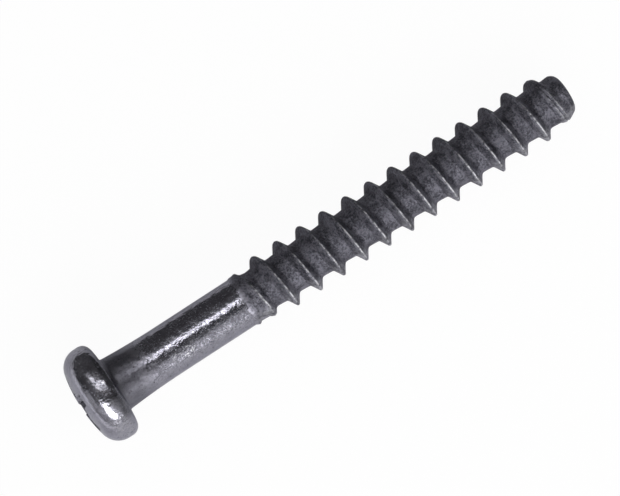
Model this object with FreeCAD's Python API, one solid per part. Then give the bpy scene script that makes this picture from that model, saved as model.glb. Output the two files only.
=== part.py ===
import FreeCAD
import Part
import math
import os

from FreeCAD import Vector

# A pan head screw with a coarse, sharp thread on the lower part of its shank.
# It is modelled upright, head down, with the bearing face at zero and +Z
# towards the tip, and is laid down at the end. Lengths are in millimetres.

# Head
head_diameter = 7.84
head_height = 2.91
head_dome_radius = 11.9
head_top_corner = 1.56
head_under_chamfer = 0.5

# Cross recess, type H, number 2
recess_span = 4.5
recess_wing_width = 1.0
recess_depth = 2.4
recess_taper_angle = 26.5
recess_core_top_diameter = 2.4
recess_core_bottom_diameter = 1.5
recess_point_depth = 0.35
recess_turn = -30.0

# Shank
length_under_head = 40.91
neck_cone_height = 0.35
neck_diameter = 4.33
neck_length = 5.0
shank_diameter = 3.98
shank_length = 12.0
lip_diameter = 4.2
lip_length = 0.5
run_in_angle = 50.0
run_in_length = 0.9

# Thread, right hand, one start
major_diameter = 5.0
root_diameter = 3.41
pitch = 2.07
head_flank_angle = 34.0
tip_flank_angle = 34.0
foot_radius = 0.64
floor_rise = 0.06
full_height_after = 2.15

# Tip
taper_length = 4.0
taper_angle = 6.2
nose_angle = 29.7
nose_stand_off = 0.23
end_chamfer_length = 0.18
end_chamfer_width = 0.38
end_flat_diameter = 2.4

# How the screw lies
lying_turn = 116.8

# Clearances that only the construction needs
burial = 0.08
overshoot = 0.5
fillet_limit = 0.7

# Sizes that follow
head_radius = head_diameter / 2
neck_radius = neck_diameter / 2
shank_radius = shank_diameter / 2
lip_radius = lip_diameter / 2
major_radius = major_diameter / 2
root_radius = root_diameter / 2
end_flat_radius = end_flat_diameter / 2
floor_radius = root_radius + floor_rise
crest_start_radius = (floor_radius + shank_radius) / 2
full_thread_start = shank_length + full_height_after
taper_start = length_under_head - taper_length
head_flank = math.tan(math.radians(head_flank_angle))
tip_flank = math.tan(math.radians(tip_flank_angle))

ORIGIN = Vector(0, 0, 0)
X_AXIS = Vector(1, 0, 0)
Y_AXIS = Vector(0, 1, 0)
Z_AXIS = Vector(0, 0, 1)


def at(radius, along):
    """A point of a turned outline."""
    return Vector(radius, 0, along)


def line(start, end):
    """A straight edge of an outline."""
    return Part.LineSegment(at(*start), at(*end)).toShape()


def arc_about(centre, radius, first_angle, last_angle):
    """An arc of an outline; the angles run from the radial direction towards +Z."""
    points = []
    for angle in (first_angle, (first_angle + last_angle) / 2, last_angle):
        turn = math.radians(angle)
        points.append(at(centre[0] + radius * math.cos(turn), centre[1] + radius * math.sin(turn)))
    return Part.Arc(*points).toShape()


def ends_of(edge):
    """First and last point of an outline's edge, as (radius, along)."""
    first = edge.valueAt(edge.FirstParameter)
    last = edge.valueAt(edge.LastParameter)
    return (first.x, first.z), (last.x, last.z)


def turned(outline):
    """The solid that a closed outline makes when it is turned about Z."""
    return Part.Face(Part.Wire(outline)).revolve(ORIGIN, Z_AXIS, 360)


def head_top():
    """Dome and rounded rim of the head, from the axis outwards."""
    dome_centre = head_dome_radius - head_height
    corner_at = head_radius - head_top_corner
    reach = head_dome_radius - head_top_corner
    lean = math.degrees(math.asin(corner_at / reach))
    corner_along = dome_centre - math.sqrt(reach ** 2 - corner_at ** 2)
    dome = arc_about((0, dome_centre), head_dome_radius, -90, lean - 90)
    corner = arc_about((corner_at, corner_along), head_top_corner, lean - 90, 0)
    return [dome, corner]


def neck():
    """Short cone under the head and the long flare into the shank."""
    cone = line((neck_radius + neck_cone_height, 0), (neck_radius, neck_cone_height))
    start = at(neck_radius, neck_cone_height)
    middle = at((neck_radius + 3 * shank_radius) / 4, (neck_cone_height + neck_length) / 2)
    flare = Part.Arc(start, middle, at(shank_radius, neck_length)).toShape()
    return [cone, flare]


def run_in():
    """The hollow step from the lip at the shank's end down into the thread's core."""
    finish = shank_length + run_in_length
    low = root_radius - burial
    bend = shank_length + (lip_radius - low) / math.tan(math.radians(run_in_angle))
    curve = Part.BezierCurve()
    curve.setPoles([at(lip_radius, shank_length), at(low, bend), at(low, finish)])
    return curve.toShape()


def blank_solid():
    """Head, neck and plain shank, down to the run-in."""
    dome, corner = head_top()
    cone, flare = neck()
    step = run_in()
    under = line((head_radius, -head_under_chamfer), (head_radius - head_under_chamfer, 0))
    lip_foot = (shank_radius, shank_length - lip_length)
    core = ends_of(step)[1]
    outline = [dome, corner]
    outline.append(line(ends_of(corner)[1], ends_of(under)[0]))
    outline.append(under)
    outline.append(line(ends_of(under)[1], ends_of(cone)[0]))
    outline += [cone, flare]
    outline.append(line(ends_of(flare)[1], lip_foot))
    outline.append(line(lip_foot, ends_of(step)[0]))
    outline.append(step)
    outline.append(line(core, (0, core[1])))
    outline.append(line((0, core[1]), (0, -head_height)))
    return turned(outline)


def crest_radius(along):
    """Radius of the thread's crest where its middle is that far from the bearing face."""
    if along < full_thread_start:
        grown = max(0.0, 1 - (full_thread_start - along) / pitch)
        return crest_start_radius + grown * (major_radius - crest_start_radius)
    tapered = max(0.0, along - taper_start)
    return major_radius - tapered * math.tan(math.radians(taper_angle))


def thread_form(turn):
    """Corners of the thread's form where a turn starts, as (along, radius).

    They run from the foot on the head side, over the sharp crest, to the end of
    the fillet on the tip side, where the floor of the next turn starts.
    """
    middle = full_thread_start + turn * pitch
    top = crest_radius(middle)
    half_bend = math.tan(math.radians(90 - tip_flank_angle) / 2)
    rise = half_bend * math.cos(math.radians(tip_flank_angle))
    fillet = min(foot_radius, fillet_limit * (top - root_radius) / rise)
    fillet_top = root_radius + fillet * rise
    floor_foot = middle - (top - floor_radius) * head_flank
    fillet_start = middle + (top - fillet_top) * tip_flank
    fillet_end = middle + (top - root_radius) * tip_flank + fillet * half_bend
    return [
        (floor_foot, floor_radius),
        (middle, top),
        (fillet_start, fillet_top),
        (fillet_end, root_radius),
    ]


def one_turn(start, end):
    """One turn of a right-hand helix about Z, each end given as (along, radius)."""
    advance = end[0] - start[0]
    slope = math.atan2(abs(end[1] - start[1]), advance)
    lead = advance / math.cos(slope)
    edge = Part.makeHelix(lead, lead, min(start[1], end[1]), math.degrees(slope)).Edges[0].copy()
    if end[1] < start[1]:
        edge.rotate(ORIGIN, X_AXIS, 180)
        edge.translate(Z_AXIS * end[0])
    else:
        edge.translate(Z_AXIS * start[0])
    return edge


def closing_faces(helix, form):
    """Ramp and step that close the thread's skin below its first or above its last turn."""
    low, high = sorted((vertex.Point for vertex in helix.Vertexes), key=lambda point: point.z)
    axis_low = Z_AXIS * low.z
    axis_high = Z_AXIS * high.z
    ramp = Part.makeRuledSurface(Part.LineSegment(axis_low, axis_high).toShape(), helix)
    corners = [at(radius, along) for along, radius in form[:-1]]
    step = Part.Face(Part.makePolygon([axis_low, low] + corners + [high, axis_high, axis_low]))
    return [ramp, step]


def thread_solid():
    """The whole threaded length, as helical strips sewn into one solid."""
    first = -2
    last = math.ceil((length_under_head - full_thread_start) / pitch)
    turns = {}
    for turn in range(first - 1, last + 1):
        corners = zip(thread_form(turn), thread_form(turn + 1))
        turns[turn] = [one_turn(start, end) for start, end in corners]
    faces = []
    for turn in range(first, last + 1):
        edges = [turns[turn - 1][-1]] + turns[turn]
        for edge, following in zip(edges, edges[1:]):
            faces.append(Part.makeRuledSurface(edge, following))
    faces += closing_faces(turns[first - 1][-1], thread_form(first))
    faces += closing_faces(turns[last][-1], thread_form(last + 1))
    shell = Part.Shell(faces)
    shell.sewShape()
    solid = Part.Solid(shell)
    if solid.Volume < 0:
        solid.reverse()
    return solid


def nose_trim():
    """A turned solid whose rounded end trims the last turns to the nose."""
    top_radius = major_radius + nose_stand_off
    bend = math.radians(nose_angle)
    end_radius = end_flat_radius + end_chamfer_width
    nose_end = length_under_head - end_chamfer_length
    nose_radius = (top_radius - end_radius) / (1 - math.cos(bend))
    nose_start = nose_end - nose_radius * math.sin(bend)
    nose = arc_about((top_radius - nose_radius, nose_start), nose_radius, 0, nose_angle)
    clear_radius = top_radius + overshoot
    flat_edge = (end_flat_radius, length_under_head)
    outline = [line((0, 0), (clear_radius, 0))]
    outline.append(line((clear_radius, 0), (clear_radius, nose_start)))
    outline.append(line((clear_radius, nose_start), (top_radius, nose_start)))
    outline.append(nose)
    outline.append(line(ends_of(nose)[1], flat_edge))
    outline.append(line(flat_edge, (0, length_under_head)))
    outline.append(line((0, length_under_head), (0, 0)))
    return turned(outline)


def recess_wing(turn):
    """One of the two crossed wings of the recess, tapered towards its bottom."""
    taper = math.tan(math.radians(recess_taper_angle))
    mouth = recess_span / 2 + overshoot * taper
    bottom = recess_span / 2 - recess_depth * taper
    above = -head_height - overshoot
    below = -head_height + recess_depth
    half_width = recess_wing_width / 2
    corners = [(-mouth, above), (mouth, above), (bottom, below), (-bottom, below), (-mouth, above)]
    points = [Vector(across, -half_width, along) for across, along in corners]
    wing = Part.Face(Part.makePolygon(points)).extrude(Y_AXIS * recess_wing_width)
    wing.rotate(ORIGIN, Z_AXIS, turn)
    return wing


def recess_solid():
    """The cross recess: two wings, the core between them and the point at the bottom."""
    wings = [recess_wing(recess_turn), recess_wing(recess_turn + 90)]
    top = Z_AXIS * -head_height
    bottom = Z_AXIS * (recess_depth - head_height)
    core_top = recess_core_top_diameter / 2
    core_bottom = recess_core_bottom_diameter / 2
    core = Part.makeCone(core_top, core_bottom, recess_depth, top)
    mouth = Part.makeCylinder(core_top, overshoot, top - Z_AXIS * overshoot)
    point = Part.makeCone(core_bottom, 0, recess_point_depth, bottom)
    return core.fuse(wings + [mouth, point])


def lying_tilt():
    """Angle at which the head's rim and the first crest below both touch the ground."""
    bottom_phase = -lying_turn / 360
    angles = []
    turn = 0
    while full_thread_start + (turn + bottom_phase) * pitch < length_under_head:
        along = full_thread_start + (turn + bottom_phase) * pitch
        drop = head_radius - crest_radius(along)
        angles.append(math.degrees(math.atan2(drop, along + head_under_chamfer)))
        turn += 1
    return min(angles)


def laid_down(solid):
    """The screw as it lies on the ground, tip towards +X, centred over the origin."""
    solid.rotate(ORIGIN, Z_AXIS, lying_turn)
    solid.rotate(ORIGIN, Y_AXIS, 90 + lying_tilt())
    box = solid.optimalBoundingBox(False, False)
    solid.translate(Vector(-box.Center.x, -box.Center.y, -box.ZMin))
    return solid


def screw():
    """The whole screw as one solid."""
    threaded = thread_solid().common(nose_trim())
    whole = blank_solid().fuse(threaded).cut(recess_solid())
    return laid_down(whole.Solids[0])


os.makedirs("parts", exist_ok=True)
made = screw()
made.exportStep("parts/pan_head_screw.step")
box = made.optimalBoundingBox(False, False)
print("valid", made.isValid(), "volume", round(made.Volume, 2), "faces", len(made.Faces))
print("size", round(box.XLength, 3), round(box.YLength, 3), round(box.ZLength, 3))
print("tilt", round(lying_tilt(), 3))
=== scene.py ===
"""A dark pan head screw with a coarse thread, lying on a pale floor.

The screw is modelled upright and in millimetres, head down, with its bearing face
at zero and +Z towards the tip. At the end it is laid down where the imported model
lies, and brought to metres. Lengths are millimetres unless a name says otherwise.
"""

import logging
import math
from dataclasses import dataclass, field
from enum import Enum
from functools import reduce
from typing import Iterable

import bpy
import numpy as np
from mathutils import Matrix, Vector


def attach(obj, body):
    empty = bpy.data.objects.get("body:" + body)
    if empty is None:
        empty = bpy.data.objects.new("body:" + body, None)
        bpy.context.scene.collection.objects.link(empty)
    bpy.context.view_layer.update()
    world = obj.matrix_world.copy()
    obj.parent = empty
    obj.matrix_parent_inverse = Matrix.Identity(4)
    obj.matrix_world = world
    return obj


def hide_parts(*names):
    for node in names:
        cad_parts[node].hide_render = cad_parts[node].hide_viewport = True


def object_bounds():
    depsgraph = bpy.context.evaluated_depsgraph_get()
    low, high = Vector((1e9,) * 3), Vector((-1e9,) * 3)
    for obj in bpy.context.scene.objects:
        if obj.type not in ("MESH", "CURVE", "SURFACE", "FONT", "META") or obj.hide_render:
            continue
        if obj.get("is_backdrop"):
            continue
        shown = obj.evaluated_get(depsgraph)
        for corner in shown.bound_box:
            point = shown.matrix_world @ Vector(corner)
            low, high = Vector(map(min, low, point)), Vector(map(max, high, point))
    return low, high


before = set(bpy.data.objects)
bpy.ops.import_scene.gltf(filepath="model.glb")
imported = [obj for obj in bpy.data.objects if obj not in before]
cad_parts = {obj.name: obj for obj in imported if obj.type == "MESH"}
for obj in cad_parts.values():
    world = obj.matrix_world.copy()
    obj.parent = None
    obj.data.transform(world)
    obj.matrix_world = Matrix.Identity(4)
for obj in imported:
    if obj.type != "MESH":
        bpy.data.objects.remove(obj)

log = logging.getLogger("screw_scene")

Array = np.ndarray
Piece = bpy.types.Object
Socket = bpy.types.NodeSocket
Point = tuple[float, float]
Place = tuple[float, float, float]
Window = tuple[float, float, float, float]
Colour = tuple[float, float, float, float]

# Point attribute: real edge wear, with painted highlight on the crests that face the light and painted light on
# the lit flanks.
WEAR_AND_LIGHT = "edge_wear_and_painted_light"
# Face attribute that marks the inside of the recess, for painted shade and duller roughness.
RECESS_SHADE = "recess_shade"
NUMBER = "NodeSocketFloat"
COLOUR = "NodeSocketColor"
VECTOR = "NodeSocketVector"
WHITE = (1, 1, 1, 1)
UP = (0, 0, 1)
MM = 0.001
TOUCH = 0.001


class Element(Enum):
    """What a selection in edit mode is made of."""

    VERTEX = "VERT"
    EDGE = "EDGE"
    FACE = "FACE"


class Cut(Enum):
    """How one solid acts on another."""

    JOIN = "UNION"
    REMOVE = "DIFFERENCE"


def put_down() -> None:
    """Leaves edit mode and deselects every object."""
    if bpy.context.object is not None and bpy.context.object.mode != "OBJECT":
        bpy.ops.object.mode_set(mode="OBJECT")
    bpy.ops.object.select_all(action="DESELECT")


def take_up(piece: Piece) -> None:
    """Makes one piece the only selected object and the active one."""
    put_down()
    piece.select_set(True)
    bpy.context.view_layer.objects.active = piece


def pick(piece: Piece, element: Element, chosen: Iterable[int]) -> None:
    """Selects just these elements of a piece and leaves it in edit mode.

    Args:
        piece: The mesh object.
        element: Whether vertices, edges or faces are meant.
        chosen: Their indices.
    """
    take_up(piece)
    bpy.ops.object.mode_set(mode="EDIT")
    bpy.ops.mesh.select_mode(type=element.value)
    bpy.ops.mesh.select_all(action="DESELECT")
    bpy.ops.object.mode_set(mode="OBJECT")
    mesh = piece.data
    items = {Element.VERTEX: mesh.vertices, Element.EDGE: mesh.edges, Element.FACE: mesh.polygons}[element]
    flags = np.zeros(len(items), bool)
    flags[list(chosen)] = True
    items.foreach_set("select", flags)
    bpy.ops.object.mode_set(mode="EDIT")


def pick_all(piece: Piece) -> None:
    """Selects the whole of a piece, by its vertices, and leaves it in edit mode."""
    take_up(piece)
    bpy.ops.object.mode_set(mode="EDIT")
    bpy.ops.mesh.select_mode(type=Element.VERTEX.value)
    bpy.ops.mesh.select_all(action="SELECT")


def slice_all(place: Vector | Place, across: Place, **options: bool) -> None:
    """Cuts everything that shows in edit mode along a plane, which faces across."""
    bpy.ops.mesh.select_all(action="SELECT")
    bpy.ops.mesh.bisect(plane_co=place, plane_no=across, **options)


def rows_of(items: bpy.types.bpy_prop_collection, name: str) -> Array:
    """A vector property of a mesh's vertices or faces, as rows of x, y and z."""
    flat = np.zeros(len(items) * 3, np.float32)
    items.foreach_get(name, flat)
    return flat.reshape(-1, 3).astype(float)


def points_of(piece: Piece) -> Array:
    """Vertices of a piece as rows of x, y and z."""
    return rows_of(piece.data.vertices, "co")


def set_points(piece: Piece, points: Array) -> None:
    """Puts the vertices of a piece at rows of x, y and z."""
    piece.data.vertices.foreach_set("co", points.astype(np.float32).ravel())
    piece.data.update()


def clean_up(piece: Piece, gap: float) -> None:
    """Merges doubled vertices closer than the gap and turns the faces outwards."""
    pick_all(piece)
    bpy.ops.mesh.remove_doubles(threshold=gap)
    bpy.ops.mesh.normals_make_consistent(inside=False)
    put_down()


def drawn_line(name: str, points: list[Point]) -> Piece:
    """An open outline in the XZ plane, drawn by extruding one vertex again and again.

    Args:
        name: The name of the new piece.
        points: Radius and height of each corner.

    Returns:
        The piece, left in edit mode with nothing filled.
    """
    put_down()
    bpy.ops.mesh.primitive_plane_add(size=0.01, location=(0, 0, 0))
    piece = bpy.context.object
    piece.name = name
    pick_all(piece)
    bpy.ops.mesh.merge(type="CENTER")
    bpy.ops.transform.translate(value=(points[0][0], 0, points[0][1]))
    for start, end in zip(points, points[1:]):
        step = (end[0] - start[0], 0, end[1] - start[1])
        bpy.ops.mesh.extrude_region_move(TRANSFORM_OT_translate={"value": step})
    return piece


def apply_cut(piece: Piece, tool: Piece, cut: Cut) -> None:
    """Joins a tool to a piece, or cuts it out of it, and removes the tool.

    Args:
        piece: The closed mesh that is changed.
        tool: The closed mesh that acts on it.
        cut: Whether the tool is joined or removed.
    """
    take_up(piece)
    modifier = piece.modifiers.new(cut.name.lower(), "BOOLEAN")
    modifier.operation = cut.value
    modifier.solver = "EXACT"
    modifier.object = tool
    bpy.ops.object.modifier_apply(modifier=modifier.name)
    bpy.data.objects.remove(tool)


def arc(centre: Point, radius: float, first: float, last: float, steps: int) -> list[Point]:
    """Points on an arc of an outline.

    Args:
        centre: Radius and height of its centre.
        radius: The arc's own radius.
        first: First angle in degrees, from the radial direction towards +Z.
        last: Last angle in degrees.
        steps: Number of steps between them.

    Returns:
        The points, both ends included.
    """
    turns = [math.radians(first + (last - first) * step / steps) for step in range(steps + 1)]
    return [(centre[0] + radius * math.cos(turn), centre[1] + radius * math.sin(turn)) for turn in turns]


def lower_of(first: Array, second: Array, rounding: float) -> Array:
    """The lower of two heights, with the corner where they cross rounded off."""
    return (first + second - np.sqrt((first - second) ** 2 + rounding**2)) / 2


def higher_of(first: Array, second: Array, rounding: float) -> Array:
    """The higher of two heights, with the hollow where they cross filled a little."""
    return (first + second + np.sqrt((first - second) ** 2 + rounding**2)) / 2


def ease(value: Array, start: float, width: float) -> Array:
    """A smooth step from 0 at the start to 1 one width further."""
    held = np.clip((value - start) / width, 0, 1)
    return held * held * (3 - 2 * held)


def bump(value: Array, width: float) -> Array:
    """A bell that is 1 at 0 and falls off over the width."""
    return np.exp(-((value / width) ** 2))


def facing(angle: Array, side: float) -> Array:
    """How squarely angles in radians face a side in degrees: 1 straight, 0 across."""
    return np.cos(angle - math.radians(side))


@dataclass(frozen=True)
class Lying:
    """How the screw lies: turned about its axis, tilted, and carried to its place."""

    turn: float = 116.8
    tilt: float = 2.213
    bearing_x: float = -19.017
    bearing_z: float = 3.898

    def matrix(self) -> Matrix:
        """The step from the upright screw in millimetres to the part in metres."""
        turned = Matrix.Rotation(math.radians(self.turn), 4, "Z")
        tilted = Matrix.Rotation(math.radians(90 + self.tilt), 4, "Y")
        carried = Matrix.Translation(Vector((self.bearing_x, 0, self.bearing_z)))
        return Matrix.Scale(MM, 4) @ carried @ tilted @ turned


@dataclass
class HeadAndShank:
    """The turned upper part: domed head, neck with its long flare, and plain shank."""

    head_radius: float = 3.905
    head_height: float = 2.91
    dome_radius: float = 11.9
    top_corner: float = 1.56
    under_corner: float = 0.72
    neck_fillet: float = 0.35
    neck_radius: float = 2.17
    neck_length: float = 5.0
    shank_radius: float = 2.0
    plain_end: float = 11.4
    recess_field: float = 2.6
    steps: int = 160
    top_steps: int = 18
    under_steps: int = 10
    fillet_steps: int = 8
    flare_steps: int = 14
    shank_steps: int = 24

    def dome(self, radius: float | Array) -> float | Array:
        """Height of the dome at a distance from the axis."""
        return self.dome_radius - self.head_height - np.sqrt(self.dome_radius**2 - radius**2)

    def head_outline(self) -> list[Point]:
        """Outline of the head, from the edge of the recess field to the bearing face."""
        corner_at = self.head_radius - self.top_corner
        reach = self.dome_radius - self.top_corner
        lean = math.degrees(math.asin(corner_at / reach))
        corner_height = self.dome_radius - self.head_height - math.sqrt(reach**2 - corner_at**2)
        under = (self.head_radius - self.under_corner, -self.under_corner)
        points = [(self.recess_field, self.dome(self.recess_field))]
        points += arc((corner_at, corner_height), self.top_corner, lean - 90, 0, self.top_steps)
        return points + arc(under, self.under_corner, 0, 90, self.under_steps)

    def shank_outline(self) -> list[Point]:
        """Outline from the fillet under the head to the end of the plain shank."""
        inner = self.neck_radius + self.neck_fillet
        points = [((self.head_radius - self.under_corner + inner) / 2, 0.0)]
        points += arc((inner, self.neck_fillet), self.neck_fillet, 270, 180, self.fillet_steps)
        flare = self.neck_length - self.neck_fillet
        for step in range(1, self.flare_steps + 1):
            left = 1 - step / self.flare_steps
            swell = (self.neck_radius - self.shank_radius) * left**2
            points.append((self.shank_radius + swell, self.neck_fillet + flare * (1 - left)))
        plain = self.plain_end - self.neck_length
        for step in range(1, self.shank_steps + 1):
            points.append((self.shank_radius, self.neck_length + plain * step / self.shank_steps))
        return points

    def build(self) -> Piece:
        """Spins the outline and closes its two open ends.

        Returns:
            The closed turned piece, with one flat face over the recess field.
        """
        piece = drawn_line("pan_head_and_shank", self.head_outline() + self.shank_outline())
        bpy.ops.mesh.select_all(action="SELECT")
        bpy.ops.mesh.spin(steps=self.steps, angle=2 * math.pi, center=(0, 0, 0), axis=(0, 0, 1))
        clean_up(piece, TOUCH)
        for height in (self.dome(self.recess_field), self.plain_end):
            pick(piece, Element.VERTEX, np.flatnonzero(np.abs(points_of(piece)[:, 2] - height) < TOUCH))
            bpy.ops.mesh.edge_face_add()
        clean_up(piece, TOUCH)
        log.info("turned head and shank: %d vertices", len(piece.data.vertices))
        return piece


@dataclass
class CrossRecess:
    """The cross recess in the head, with a softened mouth."""

    head: HeadAndShank
    span: float = 4.5
    wing_width: float = 1.0
    depth: float = 2.4
    taper: float = 26.5
    core_top: float = 1.2
    core_bottom: float = 0.75
    core_sides: int = 64
    point_depth: float = 0.35
    turn: float = -30.0
    above: float = 0.5
    softening: float = 0.08
    softening_steps: int = 4
    rim_margin: float = 0.05
    level: float = 0.99
    steep: float = 0.9
    field_lines: int = 21
    bent_depth: float = 1.6

    @property
    def mouth(self) -> float:
        """Height of the flat face that the recess is cut into."""
        return self.head.dome(self.head.recess_field)

    def pick_bottom(self, piece: Piece) -> None:
        """Selects the end of a tool that lies deep in the head."""
        put_down()
        pick(piece, Element.VERTEX, np.flatnonzero(points_of(piece)[:, 2] > self.mouth + TOUCH))

    def wing(self, turn: float) -> Piece:
        """One of the two crossed wings, as a block that narrows towards the bottom."""
        tall = self.depth + self.above
        slope = math.tan(math.radians(self.taper))
        wide = self.span + 2 * self.above * slope
        narrow = self.span - 2 * self.depth * slope
        put_down()
        bpy.ops.mesh.primitive_cube_add(size=1, location=(0, 0, 0))
        piece = bpy.context.object
        pick_all(piece)
        bpy.ops.transform.resize(value=(wide, self.wing_width, tall))
        bpy.ops.transform.translate(value=(0, 0, self.mouth - self.above + tall / 2))
        self.pick_bottom(piece)
        bpy.ops.transform.resize(value=(narrow / wide, 1, 1))
        put_down()
        piece.data.transform(Matrix.Rotation(math.radians(turn), 4, "Z"))
        return piece

    def core(self) -> Piece:
        """The tapered core between the wings, with the point at its bottom."""
        tall = self.depth + self.above
        slope = (self.core_top - self.core_bottom) / self.depth
        top = self.core_top + slope * self.above
        put_down()
        bpy.ops.mesh.primitive_cone_add(
            vertices=self.core_sides, radius1=top, radius2=self.core_bottom, depth=tall, location=(0, 0, 0)
        )
        piece = bpy.context.object
        piece.data.transform(Matrix.Translation((0, 0, self.mouth - self.above + tall / 2)))
        self.pick_bottom(piece)
        bpy.ops.mesh.extrude_region_move(TRANSFORM_OT_translate={"value": (0, 0, self.point_depth)})
        bpy.ops.mesh.merge(type="CENTER")
        put_down()
        return piece

    def soften_mouth(self, piece: Piece) -> None:
        """Rounds the edges between the recess walls and the face around them."""
        points = points_of(piece)
        sides: dict[tuple[int, int], list[float]] = {}
        for face in piece.data.polygons:
            for key in face.edge_keys:
                sides.setdefault(key, []).append(face.normal.z)
        chosen = []
        for edge in piece.data.edges:
            ends = points[list(edge.vertices)]
            flat = np.abs(ends[:, 2] - self.mouth).max() < TOUCH
            inside = np.hypot(ends[:, 0], ends[:, 1]).max() < self.head.recess_field - self.rim_margin
            heights = sides[edge.key]
            if flat and inside and min(heights) < -self.level and max(heights) > -self.steep:
                chosen.append(edge.index)
        pick(piece, Element.EDGE, chosen)
        bpy.ops.mesh.bevel(
            offset=self.softening, segments=self.softening_steps, profile=0.5, affect="EDGES",
            clamp_overlap=False,
        )
        put_down()
        log.info("softened %d edges of the recess mouth", len(chosen))

    def divide_field(self, piece: Piece) -> None:
        """Divides the flat face round the recess, so that it can follow the dome."""
        points = points_of(piece)
        flat = []
        for face in piece.data.polygons:
            heights = points[list(face.vertices)][:, 2]
            if np.abs(heights - self.mouth).max() < TOUCH and face.normal.z < -self.level:
                flat.append(face.index)
        pick(piece, Element.FACE, flat)
        bpy.ops.mesh.hide(unselected=True)
        reach = self.head.recess_field
        for across in ((1, 0, 0), (0, 1, 0)):
            for place in np.linspace(-reach, reach, self.field_lines + 2)[1:-1]:
                slice_all(Vector(across) * place, across)
        bpy.ops.mesh.reveal()
        put_down()

    def bend_to_dome(self, piece: Piece) -> None:
        """Lifts the flat face and the mouth on it to the dome of the head."""
        points = points_of(piece)
        held = np.minimum(np.hypot(points[:, 0], points[:, 1]), self.head.recess_field)
        share = 1 - ease(points[:, 2], self.mouth, self.bent_depth)
        points[:, 2] -= (self.mouth - self.head.dome(held)) * share
        set_points(piece, points)

    def cut_into(self, piece: Piece) -> None:
        """Cuts the recess into the head and finishes the face around it.

        Args:
            piece: The turned head and shank.
        """
        tool = self.wing(self.turn)
        apply_cut(tool, self.wing(self.turn + 90), Cut.JOIN)
        apply_cut(tool, self.core(), Cut.JOIN)
        apply_cut(piece, tool, Cut.REMOVE)
        self.soften_mouth(piece)
        self.divide_field(piece)
        self.bend_to_dome(piece)


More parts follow.
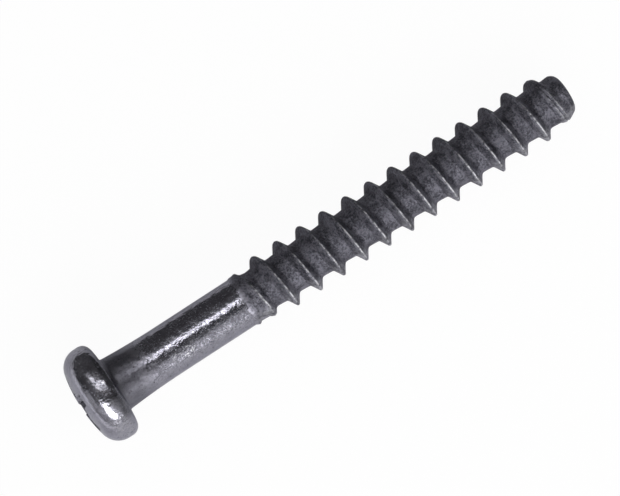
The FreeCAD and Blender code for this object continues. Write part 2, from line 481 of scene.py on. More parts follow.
@dataclass
class Thread:
    """The threaded length: rolled thread, its run-in, lowered last turns and nose.

    A pair with fade in its name says where a smooth step starts and how wide it is. The
    run-in goes by turns from the first full one, the last turns and the nose by the
    height above the end.
    """

    shank_radius: float = 2.0
    start: float = 11.5
    length: float = 40.91
    full_start: float = 14.15
    pitch: float = 2.07
    major: float = 2.5
    root: float = 1.7
    floor_rise: float = 0.06
    floor_rise_fade: Point = (0.8, 0.7)
    head_flank: float = 30.0
    tip_flank: float = 30.4
    land: float = 0.19
    land_slope: float = 0.35
    crest_rounding: float = 0.03
    crest_lift: float = 0.02
    roof_rounding: float = 0.02
    head_foot: float = 0.06
    tip_foot: float = 0.14
    split_depth: float = 0.11
    split_width: float = 0.1
    split_fade: Point = (-2.05, 0.4)
    late_start: float = 0.2
    late_fade: Point = (12.9, 0.6)
    start_fade: Point = (11.5, 0.2)
    shank_fade: Point = (13.2, 0.4)
    shank_rounding: float = 0.05
    nose_rounding: float = 0.04
    lip_at: float = 12.02
    lip_rise: float = 0.13
    lip_front_share: float = 0.04
    lip_width: float = 0.23
    lip_sway: float = 0.16
    lip_side: float = -27.0
    lip_fall: float = 0.62
    lip_fall_fade: Point = (-0.02, 0.75)
    wander_rates: tuple[float, ...] = (0.63, 1.7, 3.9, 7.3, 13.1, 23.7)
    wander_size: float = 0.006
    wander_slowing: float = 6.0
    worn_offset: float = 0.055
    worn_fade: Point = (0.03, 0.04)
    split_line: float = 0.15
    split_line_width: float = 0.04
    entry_end: float = 14.0
    clear_fade: Point = (0.02, 0.08)
    lowered_by: float = 0.3
    lowered_dulling: float = 0.5
    # Crest wear is full towards this side, where the light falls: a painted highlight; least_rubbed is the real
    # wear all round.
    crest_highlight_side: float = 86.0
    crest_highlight_fade: Point = (0.68, 0.28)
    least_rubbed: float = 0.2
    # Painted light: the flanks and the nose on this lit front side are made lighter.
    lit_flank_side: float = 153.0
    lit_flank_fade: Point = (0.6, 0.35)
    painted_flank_light: float = 0.2
    flank_fade: Point = (0.15, 0.2)
    lit_nose_fade: Point = (-1.3, 0.4)
    steps: int = 96
    turns_before: int = 3
    seed: int = 11
    end_cuts: tuple[float, ...] = (0.012, 0.04, 0.08, 0.13, 0.2, 0.33, 0.5, 0.7, 0.9, 1.2)
    rows: tuple[float, ...] = (
        -0.62, -0.55, -0.49, -0.43, -0.36, -0.28, -0.20, -0.14, -0.10, -0.07, -0.045, -0.02, 0.0,
        0.02, 0.045, 0.07, 0.10, 0.14, 0.20, 0.28, 0.36, 0.44, 0.52, 0.60, 0.68, 0.77, 0.86, 0.95,
        1.05, 1.15, 1.25, 1.35,
    )
    run_in: tuple[Point, ...] = (
        (-1.3, 1.72), (-1.0, 1.88), (-0.82, 2.0), (-0.575, 2.18), (-0.3, 2.36), (-0.07, 2.465), (0.15, 2.5),
    )
    run_in_floor: tuple[Point, ...] = ((-1.0, 0.3), (-0.75, 0.27), (-0.5, 0.25), (-0.25, 0.08), (0.1, 0.0))
    last_turns: tuple[Point, ...] = (
        (-6.2, 2.5), (-5.2, 2.45), (-4.2, 2.49), (-3.4, 2.45), (-2.7, 2.36), (-2.2, 2.35), (-1.7, 2.2),
        (-1.2, 2.08), (-0.6, 1.76),
    )
    nose: tuple[Point, ...] = (
        (-4.5, 2.75), (-3.5, 2.68), (-2.6, 2.52), (-2.1, 2.39), (-1.6, 2.23), (-1.2, 2.08), (-0.9, 1.95),
        (-0.7, 1.85), (-0.5, 1.75), (-0.33, 1.65), (-0.2, 1.56), (-0.1, 1.43), (-0.04, 1.31), (0.0, 1.18),
    )

    def form(self) -> list[Point]:
        """One pitch of the outline, at rising heights, with its radii still rough."""
        points = []
        for offset in self.rows + (self.rows[0] + self.pitch,):
            away = min(abs(offset), abs(offset - self.pitch))
            points.append((max(self.root, self.major - away), offset))
        return points

    def crest_height(self, middle: Array) -> Array:
        """Radius of the crest of the ridge whose middle is at this height."""
        turns = (middle - self.full_start) / self.pitch
        entering = np.interp(turns, *zip(*self.run_in))
        leaving = np.interp(middle - self.length, *zip(*self.last_turns))
        return np.where(turns < 1, entering, leaving)

    def split_share(self, middle: Array) -> Array:
        """How far the ridge here is split into two lines, from 0 to 1."""
        return ease(middle - self.length, *self.split_fade)

    def nearness(self, offset: Array, middle: Array) -> Array:
        """How near a point is to the top line of its ridge, or to its two lines where it is split."""
        single = 1 - ease(np.abs(offset - self.worn_offset), *self.worn_fade)
        double = bump(np.abs(offset) - self.split_line, self.split_line_width)
        return single + (double - single) * self.split_share(middle)

    def ridge(self, offset: Array, middle: Array) -> Array:
        """Radius of one ridge at a distance from its middle, without floor and fillets."""
        half = self.land / 2
        head_side = self.major + (offset + half) / math.tan(math.radians(self.head_flank))
        tip_side = self.major - (offset - half) / math.tan(math.radians(self.tip_flank))
        split = self.split_depth * self.split_share(middle) * bump(offset, self.split_width)
        roof = np.sqrt(offset**2 + self.roof_rounding**2) * self.land_slope
        top = self.crest_height(middle) + self.crest_lift - split - roof
        return lower_of(np.minimum(head_side, tip_side), top, self.crest_rounding)

    def floor(self, past: Array, next_middle: Array) -> Array:
        """Radius of the groove's floor, which rises a little towards the head side of a ridge."""
        turns = (next_middle - self.full_start) / self.pitch
        shallow = np.interp(turns, *zip(*self.run_in_floor))
        start, width = self.floor_rise_fade
        return self.root + shallow + self.floor_rise * np.clip((past - start) / width, 0, 1)

    def lip(self, along: Array, angle: Array) -> Array:
        """Radius of the plain shank, its raised lip, and the hollow step down from it."""
        side = facing(angle, self.lip_side)
        past = along - self.lip_at - self.lip_sway * side
        share = self.lip_front_share + (1 - self.lip_front_share) * side**4
        swell = self.lip_rise * share * bump(past, self.lip_width)
        return self.shank_radius + swell - self.lip_fall * ease(past, *self.lip_fall_fade)

    def wander(self, middle: Array) -> Array:
        """Small unevenness along the crest, the same on every run."""
        chance = np.random.default_rng(self.seed)
        path = (middle - self.full_start) / self.pitch * 2 * math.pi
        total = np.zeros_like(path)
        for rate in self.wander_rates:
            height = math.sin(chance.uniform(0, 6)) / (1 + rate / self.wander_slowing)
            total += height * np.sin(rate * path + chance.uniform(0, 6.28))
        return total * self.wander_size

    def wear_and_painted_light_at(self, along: Array, angle: Array, radius: Array, near: Array, middle: Array) -> Array:
        """How worn each point is along the crests, with painted highlight where the crests face the light and
        painted light on the lit flanks at the front.
        """
        dulled = np.clip((self.major - self.crest_height(middle)) / self.lowered_by, 0, 1)
        dulled = dulled * (along > self.full_start) * self.lowered_dulling
        # Painted highlight: the crest wear is full only where the crests face the light.
        rubbed = ease(facing(angle, self.crest_highlight_side), *self.crest_highlight_fade)
        crest = near * (1 - dulled) * (self.least_rubbed + (1 - self.least_rubbed) * rubbed)
        # Painted light: the flanks and the nose that face the front lamp are made lighter.
        raised = ease(radius - self.root, *self.flank_fade) + ease(along - self.length, *self.lit_nose_fade)
        front = ease(facing(angle, self.lit_flank_side), *self.lit_flank_fade) * np.minimum(raised, 1)
        return np.maximum(crest, self.painted_flank_light * (1 + near) * front)

    def radius_at(self, along: Array, angle: Array) -> tuple[Array, Array]:
        """The screw's radius and wear anywhere on the threaded length.

        Args:
            along: Heights of the points.
            angle: Their angles about the axis, in radians.

        Returns:
            Their radii, and how worn each of them is with painted highlight and light added, from 0 to 1.
        """
        placed = along - self.late_start * (1 - ease(along, *self.late_fade))
        phase = (placed - self.full_start) / self.pitch - angle / (2 * math.pi)
        past = (phase - np.floor(phase)) * self.pitch
        before = placed - past
        after = before + self.pitch
        offset = np.where(past < self.pitch / 2, past, past - self.pitch)
        middle = placed - offset
        near = self.nearness(offset, middle)
        radius = higher_of(self.floor(past, after), self.ridge(past, before), self.tip_foot)
        radius = higher_of(radius, self.ridge(past - self.pitch, after), self.head_foot)
        radius = radius + self.wander(middle) * near
        shank = self.lip(along, angle)
        near = near * np.where(along < self.entry_end, ease(radius - shank, *self.clear_fade), 1)
        blended = higher_of(radius, shank, self.shank_rounding)
        radius = blended + (radius - blended) * ease(along, *self.shank_fade)
        start = ease(along, *self.start_fade)
        radius = self.shank_radius + (radius - self.shank_radius) * start
        trimmed = lower_of(radius, np.interp(along - self.length, *zip(*self.nose)), self.nose_rounding)
        radius = np.where(along > self.length + self.nose[0][0], trimmed, radius)
        return radius, self.wear_and_painted_light_at(along, angle, radius, near, middle) * start

    def build(self) -> Piece:
        """Turns the form into a thread, cuts it to length and gives it its true radii.

        Returns:
            The threaded length, open where it meets the shank and closed at its tip.
        """
        piece = drawn_line("threaded_length", self.form())
        first = self.full_start - self.turns_before * self.pitch
        bpy.ops.mesh.select_all(action="SELECT")
        bpy.ops.transform.translate(value=(0, 0, first))
        bpy.ops.object.mode_set(mode="OBJECT")
        turns = piece.modifiers.new("turns", "SCREW")
        turns.axis = "Z"
        turns.screw_offset = self.pitch
        turns.iterations = math.ceil((self.length - first) / self.pitch) + 1
        turns.steps = turns.render_steps = self.steps
        bpy.ops.object.modifier_apply(modifier=turns.name)
        clean_up(piece, TOUCH)
        pick_all(piece)
        slice_all((0, 0, self.start), UP, clear_inner=True)
        slice_all((0, 0, self.length), UP, clear_outer=True, use_fill=True)
        for before_end in self.end_cuts:
            slice_all((0, 0, self.length - before_end), UP)
        put_down()
        points = points_of(piece)
        angle = np.arctan2(points[:, 1], points[:, 0])
        radius, wear = self.radius_at(points[:, 2], angle)
        points[:, 0] = radius * np.cos(angle)
        points[:, 1] = radius * np.sin(angle)
        set_points(piece, points)
        worn = piece.data.attributes.new(WEAR_AND_LIGHT, "FLOAT", "POINT")
        worn.data.foreach_set("value", wear.astype(np.float32))
        clean_up(piece, 2 * TOUCH)
        log.info("thread: %d vertices", len(piece.data.vertices))
        return piece


@dataclass
class PanHeadScrew:
    """The whole screw as one piece."""

    node: str = "pan_head_screw"
    body: str = "root"
    slot: str = "dark_steel"
    head: HeadAndShank = field(default_factory=HeadAndShank)
    thread: Thread = field(default_factory=Thread)
    lying: Lying = field(default_factory=Lying)
    smooth_below: float = 38.0
    rim_wear: float = 0.12
    rim_width: float = 0.35
    rim_fade: float = 0.3
    rim_below: float = -0.02
    recess_shade_depth: float = 0.05
    recess_shade_radius: float = 2.4
    recess_shade_below: float = -0.1

    def join(self, upper: Piece, lower: Piece) -> Piece:
        """Bridges the plain shank to the threaded length.

        Args:
            upper: Head and shank, closed by a flat face at the shank's end.
            lower: The threaded length, open at its start.

        Returns:
            The one closed piece.
        """
        ends = []
        for face in upper.data.polygons:
            heights = [upper.data.vertices[corner].co.z for corner in face.vertices]
            if min(heights) > self.head.plain_end - TOUCH:
                ends.append(face.index)
        pick(upper, Element.FACE, ends)
        bpy.ops.mesh.delete(type="ONLY_FACE")
        take_up(upper)
        lower.select_set(True)
        bpy.ops.object.join()
        heights = points_of(upper)[:, 2]
        rims = np.abs(heights - self.head.plain_end) < 2 * TOUCH
        rims |= np.abs(heights - self.thread.start) < 2 * TOUCH
        pick(upper, Element.VERTEX, np.flatnonzero(rims))
        bpy.ops.mesh.select_mode(type=Element.EDGE.value)
        bpy.ops.mesh.bridge_edge_loops()
        clean_up(upper, TOUCH / 2)
        return upper

    def mark_wear_and_recess_shade(self, piece: Piece) -> None:
        """Marks the head's worn rim, and the inside of the recess for painted shade."""
        points = points_of(piece)
        worn = piece.data.attributes[WEAR_AND_LIGHT]
        value = np.zeros(len(points), np.float32)
        worn.data.foreach_get("value", value)
        radius = np.hypot(points[:, 0], points[:, 1])
        rim = ease(radius, self.head.head_radius - self.rim_width, self.rim_fade)
        value = np.maximum(value, self.rim_wear * rim * (points[:, 2] < self.rim_below))
        worn.data.foreach_set("value", value.astype(np.float32))
        middles = rows_of(piece.data.polygons, "center")
        radius = np.hypot(middles[:, 0], middles[:, 1])
        # The inside of the recess is marked so that the material paints shade there.
        inside = middles[:, 2] - self.head.dome(radius) > self.recess_shade_depth
        inside &= (radius < self.recess_shade_radius) & (middles[:, 2] < self.recess_shade_below)
        recess_shade = piece.data.attributes.new(RECESS_SHADE, "FLOAT", "FACE")
        recess_shade.data.foreach_set("value", inside.astype(np.float32))

    def build(self) -> Piece:
        """Makes the screw, lays it down, hangs it on its body and hides the imported part.

        Returns:
            The finished piece, still without its finish.
        """
        upper = self.head.build()
        CrossRecess(self.head).cut_into(upper)
        piece = self.join(upper, self.thread.build())
        self.mark_wear_and_recess_shade(piece)
        piece.name = "screw"
        take_up(piece)
        bpy.ops.object.shade_smooth_by_angle(angle=math.radians(self.smooth_below))
        piece.data.transform(self.lying.matrix())
        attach(piece, self.body)
        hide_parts(self.node)
        log.info("screw: %d vertices, %d faces", len(piece.data.vertices), len(piece.data.polygons))
        return piece


class Sheet:
    """A node tree that is filled in one node at a time."""

    def __init__(self, tree: bpy.types.NodeTree) -> None:
        """Starts on an empty tree."""
        self.tree = tree
        tree.nodes.clear()

    def feed(self, value: object, target: Socket) -> None:
        """Gives an input a link, when the value is an output, or else the value itself."""
        if isinstance(value, Socket):
            self.tree.links.new(value, target)
        else:
            target.default_value = value

    def add(self, kind: str, **values: object) -> bpy.types.Node:
        """Adds a node; a value's name is a property, or an input when it starts with a capital.

        Args:
            kind: Blender's name of the node type.
            values: Properties, and values or links of inputs, with _ for a space.

        Returns:
            The new node.
        """
        node = self.tree.nodes.new(kind)
        for name, value in values.items():
            if name[0].isupper():
                self.feed(value, node.inputs[name.replace("_", " ")])
            else:
                setattr(node, name, value)
        return node

    def filled(self, node: bpy.types.Node, *values: object) -> bpy.types.Node:
        """Feeds the first inputs of a node in their order and returns the node."""
        for value, socket in zip(values, node.inputs):
            self.feed(value, socket)
        return node

    def math(self, operation: str, first: object, second: object) -> Socket:
        """The output of a Math node with two inputs, each a socket or a number."""
        return self.filled(self.add("ShaderNodeMath", operation=operation), first, second).outputs[0]

    def plus(self, *values: object) -> Socket:
        """The sum of sockets and numbers."""
        return reduce(lambda first, second: self.math("ADD", first, second), values)

    def times(self, *values: object) -> Socket:
        """The product of sockets and numbers."""
        return reduce(lambda first, second: self.math("MULTIPLY", first, second), values)

    def less(self, first: object, second: object) -> Socket:
        """The first less the second."""
        return self.math("SUBTRACT", first, second)

    def toward(self, first: object, second: object, share: Socket) -> Socket:
        """The first value, moved towards the second by a share."""
        return self.plus(first, self.times(share, self.less(second, first)))

    def band(self, value: Socket, low: float, high: float, start: float = 0.0, end: float = 1.0) -> Socket:
        """Maps a range of a value smoothly to another range."""
        node = self.add("ShaderNodeMapRange", interpolation_type="SMOOTHSTEP", clamp=True)
        return self.filled(node, value, low, high, start, end).outputs[0]

    def window(self, value: Socket, start: float, full: float, end: float, gone: float) -> Socket:
        """A share that fades in from start to full, and out from end to gone."""
        return self.times(self.band(value, start, full), self.band(value, end, gone, 1.0, 0.0))

    def mix(self, share: Socket, first: object, second: object) -> Socket:
        """Mixes two colours, each a socket or a plain colour."""
        node = self.add("ShaderNodeMix", data_type="RGBA", Factor=share)
        self.feed(first, node.inputs[6])
        self.feed(second, node.inputs[7])
        return node.outputs[2]

    def noise(self, place: Socket, scale: object, detail: float, roughness: float) -> Socket:
        """A noise texture read at a place; the scale is a socket or a number."""
        node = self.add("ShaderNodeTexNoise", Vector=place, Scale=scale, Detail=detail, Roughness=roughness)
        return node.outputs[0]

    def vector(self, operation: str, first: Socket, second: Place) -> bpy.types.Node:
        """Adds a Vector Math node of a place and three fixed numbers."""
        return self.filled(self.add("ShaderNodeVectorMath", operation=operation), first, second)

    def marked(self, name: str) -> Socket:
        """The value of a mesh attribute."""
        return self.add("ShaderNodeAttribute", attribute_name=name).outputs["Fac"]


def new_material(name: str) -> tuple[bpy.types.Material, Sheet]:
    """An empty material and the sheet to fill it with."""
    material = bpy.data.materials.new(name)
    material.use_nodes = True
    return material, Sheet(material.node_tree)


def new_group(
    name: str, numbers: str, colours: str, outputs: dict[str, str]
) -> tuple[Sheet, dict[str, Socket]]:
    """An empty shader node group that reads its patterns at a place.

    Args:
        name: The group's name.
        numbers: Names of its number inputs, parted by commas.
        colours: Names of its colour inputs, parted by commas.
        outputs: Socket type of each output, by name.

    Returns:
        The sheet to fill it with, and what the group is given, by name.
    """
    group = bpy.data.node_groups.new(name, "ShaderNodeTree")
    inputs = {"Place": VECTOR}
    inputs.update({label: NUMBER for label in numbers.split(", ") if label})
    inputs.update({label: COLOUR for label in colours.split(", ") if label})
    for direction, sockets in (("INPUT", inputs), ("OUTPUT", outputs)):
        for label, kind in sockets.items():
            group.interface.new_socket(label, in_out=direction, socket_type=kind)
    sheet = Sheet(group)
    given = sheet.add("NodeGroupInput")
    return sheet, {label: given.outputs[label] for label in inputs}


@dataclass
class SurfaceEffects:
    """The node groups that the finishes share."""

    wave_stretch: Place = (0.7, 1, 1)
    pit_edge: float = 0.06
    pit_depth: float = 0.6
    broad_share: float = 0.4
    middle_tones: Point = (0.4, 0.6)
    least_worn: float = 0.15

    def __post_init__(self) -> None:
        """Builds each group once."""
        self.grain = self.pitted_grain()
        self.mottling = self.oxide_mottling()
        self.wear = self.bare_wear_and_painted_light()

    def pitted_grain(self) -> bpy.types.NodeTree:
        """Fine grain and waves with scattered pits, as a height and a pit mask."""
        numbers = "Grain Scale, Grain Level, Wave Scale, Wave Level, Pit Scale, Pit Share"
        sheet, given = new_group("pitted_grain", numbers, "", {"Height": NUMBER, "Pits": NUMBER})
        grain = sheet.noise(given["Place"], given["Grain Scale"], 2.0, 0.5)
        drawn = sheet.vector("MULTIPLY", given["Place"], self.wave_stretch).outputs[0]
        waves = sheet.noise(drawn, given["Wave Scale"], 1.0, 0.5)
        dots = sheet.noise(given["Place"], given["Pit Scale"], 2.0, 0.5)
        pits = sheet.band(sheet.less(given["Pit Share"], dots), 0.0, self.pit_edge)
        fine = sheet.plus(sheet.times(grain, given["Grain Level"]), sheet.times(waves, given["Wave Level"]))
        dips = sheet.times(pits, sheet.times(given["Grain Level"], self.pit_depth))
        sheet.add("NodeGroupOutput", Height=sheet.less(fine, dips), Pits=pits)
        return sheet.tree

    def oxide_mottling(self) -> bpy.types.NodeTree:
        """Cloudy change between two tones, broad patches with finer specks in them."""
        outputs = {"Color": COLOUR, "Tone": NUMBER}
        sheet, given = new_group("oxide_mottling", "Patch Scale, Speck Scale", "Dark, Light", outputs)
        broad = sheet.noise(given["Place"], given["Patch Scale"], 3.0, 0.55)
        specks = sheet.noise(given["Place"], given["Speck Scale"], 4.0, 0.65)
        both = sheet.plus(sheet.times(broad, self.broad_share), sheet.times(specks, 1 - self.broad_share))
        tone = sheet.band(both, *self.middle_tones)
        sheet.add("NodeGroupOutput", Color=sheet.mix(tone, given["Dark"], given["Light"]), Tone=tone)
        return sheet.tree

    def bare_wear_and_painted_light(self) -> bpy.types.NodeTree:
        """Bare metal in broken patches where the attribute marks oxide rubbed off the edges, or painted
        highlight and light.
        """
        outputs = {"Color": COLOUR, "Mask": NUMBER}
        sheet, given = new_group("bare_wear_and_painted_light", "Amount, Break Scale", "Covered, Bare", outputs)
        breaks = sheet.noise(given["Place"], given["Break Scale"], 4.0, 0.6)
        broken = sheet.band(breaks, *self.middle_tones, self.least_worn, 1.0)
        mask = sheet.times(sheet.marked(WEAR_AND_LIGHT), sheet.times(broken, given["Amount"]))
        sheet.add("NodeGroupOutput", Color=sheet.mix(mask, given["Covered"], given["Bare"]), Mask=mask)
        return sheet.tree


@dataclass(frozen=True)
class Scuff:
    """A small place where the oxide is rubbed through; lengths are metres."""

    place: Place
    size: float
    strength: float

    def share(self, sheet: Sheet, place: Socket) -> Socket:
        """How far the oxide is rubbed through at a place."""
        away = sheet.vector("DISTANCE", place, self.place).outputs["Value"]
        return sheet.band(away, 0.2 * self.size, self.size, self.strength, 0.0)


@dataclass(frozen=True)
class ShadePatch:
    """A patch of painted shade: darker colour where shade falls; both windows are in metres."""

    along: Window
    across: Window
    strength: float

    def share(self, sheet: Sheet, parts: bpy.types.Node) -> Socket:
        """How strong this painted shade is, from the place split into x, y and z."""
        along, across, _ = parts.outputs
        return sheet.times(sheet.window(along, *self.along), sheet.window(across, *self.across), self.strength)


@dataclass(frozen=True)
class OxidisedSteel:
    """Steel with a dark oxide skin: glossy on head and shank, dull and grainy on the thread.

    Places and scales go by metres, along the lying screw.
    """

    name: str = "dark_oxidised_steel"
    dark: Colour = (0.231, 0.227, 0.265, 1)
    light: Colour = (0.312, 0.307, 0.352, 1)
    thread_dark: Colour = (0.052, 0.051, 0.062, 1)
    thread_light: Colour = (0.193, 0.19, 0.223, 1)
    bare: Colour = (0.85, 0.85, 0.88, 1)
    edge_tint: Colour = (0.75, 0.75, 0.8, 1)
    pit_colour: Colour = (0.06, 0.06, 0.07, 1)
    # Colour of the painted shade in the recess and in the shade patches.
    painted_shade_colour: Colour = (0.03, 0.03, 0.036, 1)
    pit_strength: float = 0.5
    bare_roughness: float = 0.3
    wear: float = 1.0
    break_scale: float = 2600.0
    shank_roughness: Point = (0.14, 0.25)
    thread_roughness: Point = (0.55, 0.7)
    neck: Window = (-0.0192, -0.0188, -0.0178, -0.0146)
    neck_dulling: float = 0.55
    dulled_roughness: float = 0.4
    # How far the inside of the recess is darkened: painted shade.
    recess_shade_strength: float = 0.6
    thread_fade: Point = (-0.0077, -0.0069)
    thread_skin: float = 0.15
    coarse_power: float = 4.0
    bump: float = 1.0
    bump_distance: float = 0.00003
    shank_grain: float = 0.65
    thread_grain: float = 3.0
    grain_scale: float = 4800.0
    wave_scale: float = 2300.0
    wave_level: float = 1.15
    pit_scale: float = 5200.0
    pit_share: float = 0.37
    patch_scale: float = 1400.0
    speck_scale: float = 6500.0
    scuff_breaks: Point = (0.5, 0.62)
    scuffs: tuple[Scuff, ...] = (
        Scuff((-0.0128, -0.0010, 0.00536), 0.0008, 0.6),
        Scuff((-0.0139, -0.0009, 0.00545), 0.0006, 0.35),
    )
    # Painted shade: on the neck beside the head, on the side of the head by its bearing face, and over a glint
    # on the head.
    shade_patches: tuple[ShadePatch, ...] = (
        ShadePatch((-0.0197, -0.0190, -0.0180, -0.0157), (-0.0034, -0.0023, 0.009, 0.01), 0.47),
        ShadePatch((-0.0201, -0.0196, -0.0191, -0.0189), (-0.0034, -0.0024, -0.0011, -0.0003), 0.65),
        ShadePatch((-0.0202, -0.0199, -0.0194, -0.0192), (-0.0005, -0.0002, 0.0, 0.0003), 0.6),
    )

    def scuffing(self, sheet: Sheet, place: Socket) -> Socket:
        """How far the oxide is rubbed through by the scuffs, in broken specks."""
        breaks = sheet.band(sheet.noise(place, self.grain_scale, 2.0, 0.6), *self.scuff_breaks)
        return sheet.times(sheet.plus(*(scuff.share(sheet, place) for scuff in self.scuffs)), breaks)

    def painted_shading(self, sheet: Sheet, parts: bpy.types.Node) -> Socket:
        """How strong the painted shade patches are at each place, the strongest counting."""
        shares = [shade_patch.share(sheet, parts) for shade_patch in self.shade_patches]
        return reduce(lambda first, second: sheet.math("MAXIMUM", first, second), shares)

    def material(self, effects: SurfaceEffects) -> bpy.types.Material:
        """Builds the material from the shared effects.

        Args:
            effects: The node groups.

        Returns:
            The finished material.
        """
        material, sheet = new_material(self.name)
        place = sheet.add("ShaderNodeTexCoord").outputs["Object"]
        parts = sheet.add("ShaderNodeSeparateXYZ", Vector=place)
        threaded = sheet.band(parts.outputs["X"], *self.thread_fade)
        coarse = sheet.math("POWER", threaded, self.coarse_power)
        recess_shade = sheet.marked(RECESS_SHADE)
        neck = sheet.times(sheet.window(parts.outputs["X"], *self.neck), self.neck_dulling)
        grain = sheet.add(
            "ShaderNodeGroup", node_tree=effects.grain, Place=place,
            Grain_Scale=self.grain_scale, Wave_Scale=self.wave_scale, Wave_Level=self.wave_level,
            Grain_Level=sheet.toward(self.shank_grain, self.thread_grain, coarse),
            Pit_Scale=self.pit_scale, Pit_Share=self.pit_share,
        ).outputs
        mottling = sheet.add(
            "ShaderNodeGroup", node_tree=effects.mottling, Place=place,
            Patch_Scale=self.patch_scale, Speck_Scale=self.speck_scale,
            Dark=sheet.mix(threaded, self.dark, self.thread_dark),
            Light=sheet.mix(threaded, self.light, self.thread_light),
        ).outputs
        wear = sheet.add(
            "ShaderNodeGroup", node_tree=effects.wear, Place=place,
            Amount=self.wear, Break_Scale=self.break_scale, Covered=mottling["Color"], Bare=self.bare,
        ).outputs
        shade = sheet.mix(self.scuffing(sheet, place), wear["Color"], self.bare)
        shade = sheet.mix(sheet.times(grain["Pits"], self.pit_strength), shade, self.pit_colour)
        # Painted shade: the inside of the recess and the shade patches darken the colour.
        painted_shade = sheet.math("MAXIMUM", sheet.times(recess_shade, self.recess_shade_strength), self.painted_shading(sheet, parts))
        shade = sheet.mix(painted_shade, shade, self.painted_shade_colour)
        glossy = sheet.band(mottling["Tone"], 0.0, 1.0, *self.shank_roughness)
        dull = sheet.band(mottling["Tone"], 0.0, 1.0, *self.thread_roughness)
        dulled = sheet.times(sheet.math("MAXIMUM", neck, recess_shade), self.dulled_roughness)
        covered = sheet.plus(sheet.toward(glossy, dull, threaded), dulled)
        relief = sheet.add(
            "ShaderNodeBump", Strength=self.bump, Distance=self.bump_distance, Height=grain["Height"]
        )
        surface = sheet.add(
            "ShaderNodeBsdfPrincipled", Base_Color=shade, Specular_Tint=self.edge_tint,
            Metallic=sheet.less(1.0, sheet.times(threaded, self.thread_skin)),
            Roughness=sheet.toward(covered, self.bare_roughness, wear["Mask"]), Normal=relief.outputs["Normal"],
        )
        sheet.add("ShaderNodeOutputMaterial", Surface=surface.outputs["BSDF"])
        return material


@dataclass(frozen=True)
class PalePaper:
    """A plain pale floor that reads as white and keeps a soft shadow."""

    name: str = "pale_floor"
    colour: Colour = (0.88, 0.88, 0.88, 1)
    whiteness: float = 0.95

    def material(self) -> bpy.types.Material:
        """Builds the material.

        Returns:
            The finished material.
        """
        material, sheet = new_material(self.name)
        matt = sheet.add("ShaderNodeBsdfDiffuse", Color=self.colour)
        white = sheet.add("ShaderNodeEmission", Color=WHITE, Strength=1.0)
        path = sheet.add("ShaderNodeLightPath").outputs
        seen = sheet.math("MAXIMUM", path["Is Camera Ray"], path["Is Transmission Ray"])
        share = sheet.times(seen, self.whiteness)
        mixed = sheet.filled(sheet.add("ShaderNodeMixShader"), share, matt.outputs[0], white.outputs[0])
        sheet.add("ShaderNodeOutputMaterial", Surface=mixed.outputs[0])
        return material


def placed(name: str, data: bpy.types.ID, place: Vector | Place, sides: tuple[Vector, ...]) -> Piece:
    """Makes an object of a lamp or camera and links it to the scene.

    Args:
        name: The object's name.
        data: The lamp or camera.
        place: Where it stands, in metres.
        sides: Its right, its up and its back.

    Returns:
        The object.
    """
    thing = bpy.data.objects.new(name, data)
    bpy.context.scene.collection.objects.link(thing)
    thing.matrix_world = Matrix.Translation(place) @ Matrix(sides).transposed().to_4x4()
    return thing


@dataclass(frozen=True)
class Lamp:
    """A soft lamp with a rectangular face, aimed at the screw; sizes are metres."""

    name: str
    place: Place
    width: float
    height: float
    brightness: float

    def build(self, target: Vector) -> None:
        """Makes the lamp.

        Args:
            target: The point that it faces.
        """
        data = bpy.data.lights.new(self.name, "AREA")
        data.shape = "RECTANGLE"
        data.size, data.size_y = self.width, self.height
        data.energy = self.brightness * math.pi * self.width * self.height
        back = (Vector(self.place) - target).normalized()
        along = Vector((1, 0, 0))
        side = (along - back * back.dot(along)).normalized()
        lamp = placed(self.name, data, self.place, (side, back.cross(side), back))
        lamp.visible_glossy = False


@dataclass(frozen=True)
class Glow:
    """A soft-edged lamp face on the reflection tent.

    Angles are degrees from straight up towards the front; places along the tent are metres,
    and the slant is how far they move for each degree.
    """

    low: float
    high: float
    start: float
    end: float
    brightness: float
    edge: float
    end_edge: float
    slant: float = 0.0

    def light(self, sheet: Sheet, angle: Socket, along: Socket) -> Socket:
        """Its brightness at an angle and a place along the tent."""
        lit = sheet.window(angle, self.low - self.edge, self.low, self.high, self.high + self.edge)
        shift = sheet.times(sheet.less(angle, (self.low + self.high) / 2), self.slant)
        ends = (self.start - self.end_edge, self.start, self.end, self.end + self.end_edge)
        return sheet.times(lit, sheet.window(sheet.less(along, shift), *ends), self.brightness)


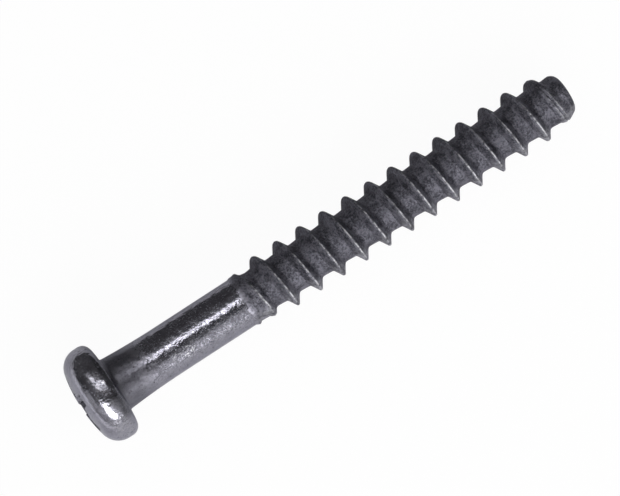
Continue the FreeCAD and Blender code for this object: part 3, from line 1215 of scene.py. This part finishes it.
@dataclass(frozen=True)
class ReflectionTent:
    """A half round tent over the screw that only its reflections show.

    It stands for a studio of pale panels, dark gaps and lamps. Its brightness changes with
    the angle from straight up towards the front, in degrees, and towards its ends. Two low
    strips stand for the floor behind the screw and off its head. Lengths are metres.
    """

    name: str = "reflection_tent"
    radius: float = 0.45
    half_length: float = 1.6
    facets: int = 128
    around: tuple[Point, ...] = (
        (-95, 0.11), (-50, 0.09), (-40, 0.12), (-25, 0.2), (-10, 0.24), (8, 0.13), (24, 0.11), (34, 0.33),
        (44, 0.78), (54, 0.93), (68, 0.76), (82, 0.72), (95, 1.0),
    )
    lowest: float = -100.0
    highest: float = 100.0
    glows: tuple[Glow, ...] = (
        Glow(-8.5, -2.5, 0.04, 0.06, 11.0, edge=3.5, end_edge=0.025),
        Glow(-40, -6, -0.13, -0.07, 2.6, edge=9.0, end_edge=0.07, slant=0.0042),
        Glow(34, 68, -0.32, -0.18, 8.0, edge=10.0, end_edge=0.11, slant=0.0055),
    )
    head_end: Place = (1.25, 1.6, 0.8)
    tip_end: Place = (0.10, 0.24, 0.4)
    tip_end_angles: Point = (72, 88)
    back_floor: Point = (0.0155, 0.45)
    back_floor_edge: float = 0.001
    back_floor_tone: float = 0.1
    head_floor_fade: Point = (-0.045, -0.031)
    far_floor_fade: Point = (-0.22, -0.09)
    head_floor_tones: Place = (1.7, 0.47, 0.12)
    strip_height: float = 0.0002
    above_strips: Point = (0.001, 0.002)

    def shape(self) -> Piece:
        """Makes the half cylinder with its two ends, and the two low strips."""
        put_down()
        bpy.ops.mesh.primitive_cylinder_add(
            vertices=self.facets, radius=self.radius, depth=2 * self.half_length, end_fill_type="NGON",
            location=(0, 0, 0),
        )
        tent = bpy.context.object
        tent.name = self.name
        tent.data.transform(Matrix.Rotation(math.radians(90), 4, "Y"))
        pick_all(tent)
        slice_all((0, 0, 0), UP, clear_inner=True)
        put_down()
        near, far = self.back_floor
        end = -self.half_length
        for low, high in (((end, near), (-end, far)), ((end, -far), (self.head_floor_fade[1], near))):
            bpy.ops.mesh.primitive_plane_add(size=1, location=(0, 0, 0))
            strip = bpy.context.object
            stretch = Matrix.Diagonal((high[0] - low[0], high[1] - low[1], 1, 1))
            middle = ((low[0] + high[0]) / 2, (low[1] + high[1]) / 2, self.strip_height)
            strip.data.transform(Matrix.Translation(middle) @ stretch)
            tent.select_set(True)
            bpy.context.view_layer.objects.active = tent
            bpy.ops.object.join()
        return tent

    def panels(self, sheet: Sheet, angle: Socket) -> Socket:
        """Brightness of the panels by the angle around the screw."""
        wide = self.highest - self.lowest
        ramp = sheet.add("ShaderNodeValToRGB", Fac=sheet.math("DIVIDE", sheet.less(angle, self.lowest), wide))
        stops = ramp.color_ramp.elements
        while len(stops) < len(self.around):
            stops.new(0.5)
        brightest = max(tone for _, tone in self.around)
        for stop, (place, tone) in zip(stops, self.around):
            stop.position = (place - self.lowest) / wide
            stop.color = (*[tone / brightest] * 3, 1)
        return sheet.times(ramp.outputs["Color"], brightest)

    def floor_tone(self, sheet: Sheet, along: Socket, across: Socket) -> Socket:
        """Brightness of the low strips: dim behind the screw, paler just off its head."""
        near, middle, far = self.head_floor_tones
        close = sheet.band(along, *self.head_floor_fade, 0.0, near - middle)
        beyond = sheet.plus(close, sheet.band(along, *self.far_floor_fade, far, middle))
        edge = self.back_floor[0]
        behind = sheet.band(across, edge - self.back_floor_edge, edge)
        return sheet.toward(beyond, self.back_floor_tone, behind)

    def brightness(self, sheet: Sheet) -> Socket:
        """Brightness anywhere on the tent and on its low strips."""
        place = sheet.add("ShaderNodeTexCoord").outputs["Object"]
        along, across, height = sheet.add("ShaderNodeSeparateXYZ", Vector=place).outputs
        angle = sheet.times(sheet.math("ARCTAN2", sheet.times(across, -1.0), height), 180 / math.pi)
        tone = sheet.plus(self.panels(sheet, angle), *(glow.light(sheet, angle, along) for glow in self.glows))
        start, full, level = self.head_end
        tone = sheet.toward(tone, level, sheet.band(along, -full, -start, 1.0, 0.0))
        start, full, dimming = self.tip_end
        away = sheet.times(
            sheet.band(along, start, full, 0.0, dimming), sheet.band(angle, *self.tip_end_angles, 1.0, 0.0)
        )
        tone = sheet.times(tone, sheet.less(1.0, away))
        low = sheet.band(height, *self.above_strips, 1.0, 0.0)
        return sheet.toward(tone, self.floor_tone(sheet, along, across), low)

    def build(self) -> None:
        """Makes the tent with its material."""
        tent = self.shape()
        material, sheet = new_material(self.name)
        glowing = sheet.add("ShaderNodeEmission", Color=WHITE, Strength=self.brightness(sheet))
        sheet.add("ShaderNodeOutputMaterial", Surface=glowing.outputs[0])
        tent.data.materials.append(material)
        tent.visible_camera = tent.visible_diffuse = tent.visible_shadow = False
        tent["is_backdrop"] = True


@dataclass
class Studio:
    """Floor, surroundings, lamps and tent."""

    ambient: float = 0.45
    floor_size: float = 12.0
    floor_drop: float = 0.00001
    lamps: tuple[Lamp, ...] = (
        Lamp("overhead_panel", (0.0, -0.1, 0.7), 0.9, 0.5, 0.5),
        Lamp("front_panel", (0.0, -0.42, 0.25), 0.8, 0.3, 3.6),
    )

    def build(self, centre: Vector) -> None:
        """Makes the floor, the surroundings, the lamps and the tent.

        Args:
            centre: The middle of the screw.
        """
        put_down()
        bpy.ops.mesh.primitive_plane_add(size=self.floor_size, location=(0, 0, 0))
        floor = bpy.context.object
        floor.name = "floor"
        floor.data.transform(Matrix.Translation((0, 0, -self.floor_drop)))
        floor.data.materials.append(PalePaper().material())
        floor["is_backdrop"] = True
        world = bpy.data.worlds.new("surroundings")
        bpy.context.scene.world = world
        world.use_nodes = True
        sheet = Sheet(world.node_tree)
        plain = sheet.add("ShaderNodeBackground", Color=WHITE, Strength=self.ambient)
        sheet.add("ShaderNodeOutputWorld", Surface=plain.outputs[0])
        for lamp in self.lamps:
            lamp.build(centre)
        ReflectionTent().build()
        log.info("studio: %d lamps and a tent", len(self.lamps))


@dataclass(frozen=True)
class PhotoCamera:
    """The camera, at the photograph's viewing angle; clipping is in metres."""

    azimuth: float = -33.466
    elevation: float = 82.573
    distance: float = 482.5
    focal_pixels: float = 6415.0
    centre_right: float = 14.85
    centre_down: float = -0.82
    frame_width: int = 620
    sensor: float = 36.0
    clipping: Point = (0.01, 50.0)

    def build(self, centre: Vector) -> None:
        """Makes the camera; moving it sideways puts the screw where the photograph has it.

        Args:
            centre: The middle of the CAD box, in metres.
        """
        turn, lift = math.radians(self.azimuth), math.radians(self.elevation)
        back = Vector((math.sin(turn) * math.cos(lift), -math.cos(turn) * math.cos(lift), math.sin(lift)))
        right = Vector((math.cos(turn), math.sin(turn), 0))
        up = back.cross(right)
        pixel = self.distance * MM / self.focal_pixels
        aim = centre - right * self.centre_right * pixel + up * self.centre_down * pixel
        data = bpy.data.cameras.new("photo_camera")
        data.lens = self.focal_pixels * self.sensor / self.frame_width
        data.sensor_width = self.sensor
        data.clip_start, data.clip_end = self.clipping
        place = aim + back * self.distance * MM
        bpy.context.scene.camera = placed("photo_camera", data, place, (right, up, back))
        log.info("camera: lens %.1f mm", data.lens)


def main() -> None:
    """Builds the screw and its studio."""
    logging.basicConfig(level=logging.INFO, format="%(name)s: %(message)s")
    scene = bpy.context.scene
    scene.view_settings.view_transform = "Standard"
    cad_low, cad_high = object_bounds()
    centre = (cad_low + cad_high) / 2
    screw = PanHeadScrew().build()
    screw.data.materials.clear()
    screw.data.materials.append(OxidisedSteel().material(SurfaceEffects()))
    Studio().build(centre)
    PhotoCamera().build(centre)
    put_down()
    log.info("boxes written")


if __name__ == "__main__":
    main()
